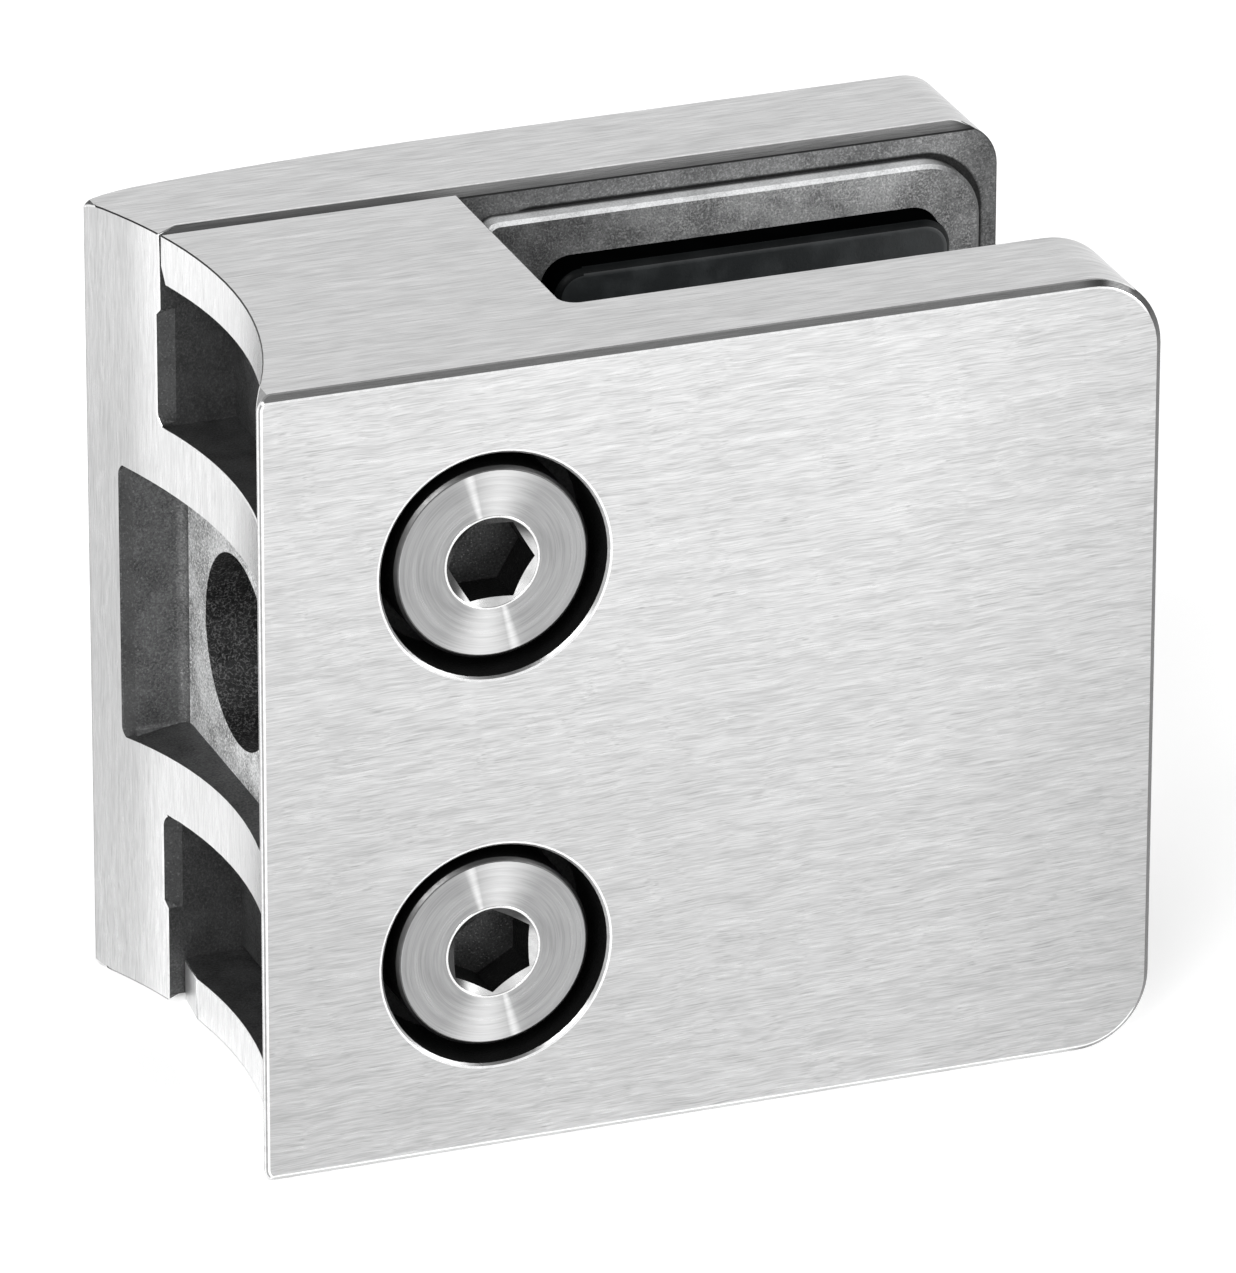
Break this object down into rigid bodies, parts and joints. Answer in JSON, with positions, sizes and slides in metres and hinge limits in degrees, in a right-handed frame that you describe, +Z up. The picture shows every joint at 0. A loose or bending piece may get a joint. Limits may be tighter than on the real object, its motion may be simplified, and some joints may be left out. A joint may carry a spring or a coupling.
{
  "type": "glass panel clamp",
  "caption": "Square stainless clamp that holds a glass pane edge-on to a round post, with a screwed front cover and rubber pads.",
  "frame": {"origin": "middle of the foot: the lower edge, below the centre of the bounding box seen from above", "axes": "+Z up, the front face with the screws looks along -Y, the post stands on the -X side and the glass enters from +X"},
  "size_m": [0.0604, 0.0378, 0.0538],
  "materials": {
    "casting": "fine lengthwise brushing outside, dark cast surface inside",
    "screw": "turned head, semi-gloss",
    "pad": "matte black"
  },
  "bodies": {
    "rear": {"rear_body": "casting", "rear_pad": "pad"},
    "cover": {"front_cover": "casting", "front_pad": "pad"},
    "upper_screw": {"upper_screw": "screw"},
    "lower_screw": {"lower_screw": "screw"}
  },
  "joints": [
    {"name": "cover_slide", "type": "slide", "parent": "rear", "child": "cover", "axis": [0, -1, 0], "range_m": [0, 0.01]},
    {"name": "upper_screw_turn", "type": "hinge", "parent": "cover", "child": "upper_screw", "pos_m": [-0.01475, -0.01835, 0.0403], "axis": [0, -1, 0], "range_deg": [0, 2880.1]},
    {"name": "lower_screw_turn", "type": "hinge", "parent": "cover", "child": "lower_screw", "pos_m": [-0.01475, -0.01835, 0.0135], "axis": [0, -1, 0], "range_deg": [0, 2880.1]}
  ],
  "couplings": [
    {"joint": "upper_screw_turn", "follows": "cover_slide", "rad_per_m": 5026.5},
    {"joint": "lower_screw_turn", "follows": "cover_slide", "rad_per_m": 5026.5}
  ]
}
